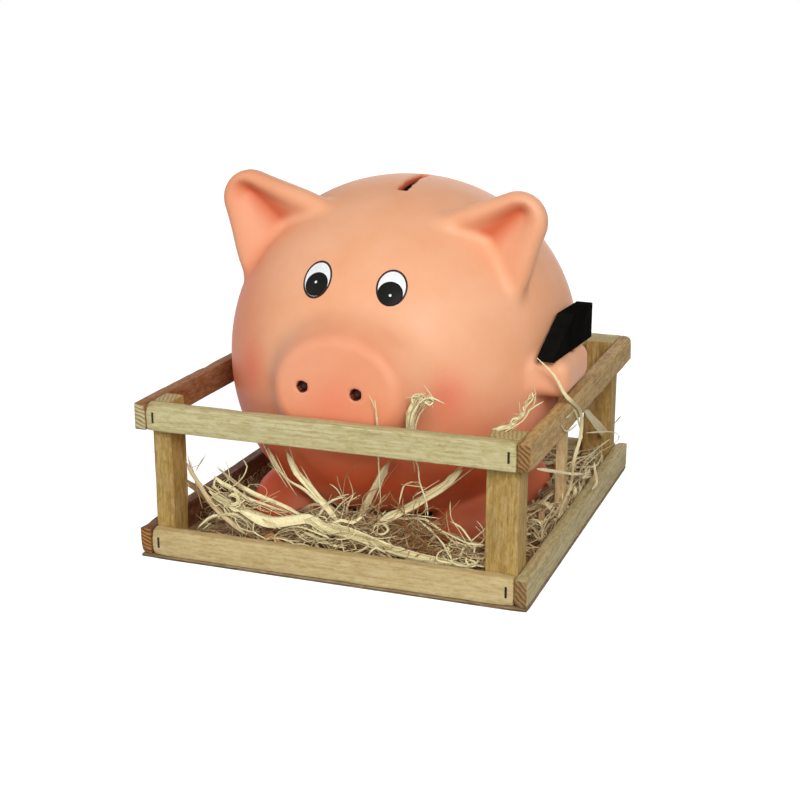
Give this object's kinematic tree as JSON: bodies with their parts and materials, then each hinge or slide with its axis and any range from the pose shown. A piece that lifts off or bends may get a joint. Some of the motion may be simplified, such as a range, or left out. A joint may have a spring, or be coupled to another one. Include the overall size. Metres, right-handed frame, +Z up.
{
  "type": "piggy bank in a wooden pen",
  "caption": "Round ceramic pig money box standing in a small straw-lined wooden pen, with a coin slot on top and a little hammer held upright at its flank.",
  "frame": {"origin": "centre of the pen's underside", "axes": "+X along the pen's front to the viewer's right, +Y to the back with the pig facing -Y, +Z up"},
  "size_m": [0.212, 0.234, 0.197],
  "materials": {
    "rail_wood": "sawn, unfinished",
    "post_wood": "sawn, unfinished",
    "board_wood": "thin board, unfinished",
    "handle_wood": "sawn, unfinished",
    "staple_wire": "dark wire",
    "ceramic": "matte painted earthenware",
    "rubber": "soft matte",
    "black_paint": "satin black paint",
    "straw": "loose dry fibre"
  },
  "bodies": {
    "pen": {"base_board": "board_wood", "bottom_rail_front": "rail_wood", "bottom_rail_back": "rail_wood", "bottom_rail_left": "rail_wood", "bottom_rail_right": "rail_wood", "top_rail_front": "rail_wood", "top_rail_back": "rail_wood", "top_rail_left": "rail_wood", "top_rail_right": "rail_wood", "post_front_left": "post_wood", "post_front_right": "post_wood", "post_back_left": "post_wood", "post_back_right": "post_wood", "rail_staples": "staple_wire", "board_staples": "staple_wire", "straw_front": "straw", "straw_middle": "straw", "straw_back": "straw", "straw_left": "straw", "straw_right_front": "straw", "straw_right_back": "straw", "straw_strips": "straw"},
    "pig": {"pig_body": "ceramic"},
    "stopper": {"belly_stopper": "rubber"},
    "hammer": {"hammer_head": "black_paint", "hammer_handle": "handle_wood"}
  },
  "joints": [
    {"name": "pig_lift", "type": "slide", "parent": "pen", "child": "pig", "axis": [0, 0, 1], "range_m": [0, 0.1]},
    {"name": "hammer_lift", "type": "slide", "parent": "pig", "child": "hammer", "axis": [0, 0, 1], "range_m": [0, 0.105]},
    {"name": "stopper_pull", "type": "slide", "parent": "pig", "child": "stopper", "axis": [0, 0, -1], "range_m": [0, 0.0115]}
  ]
}
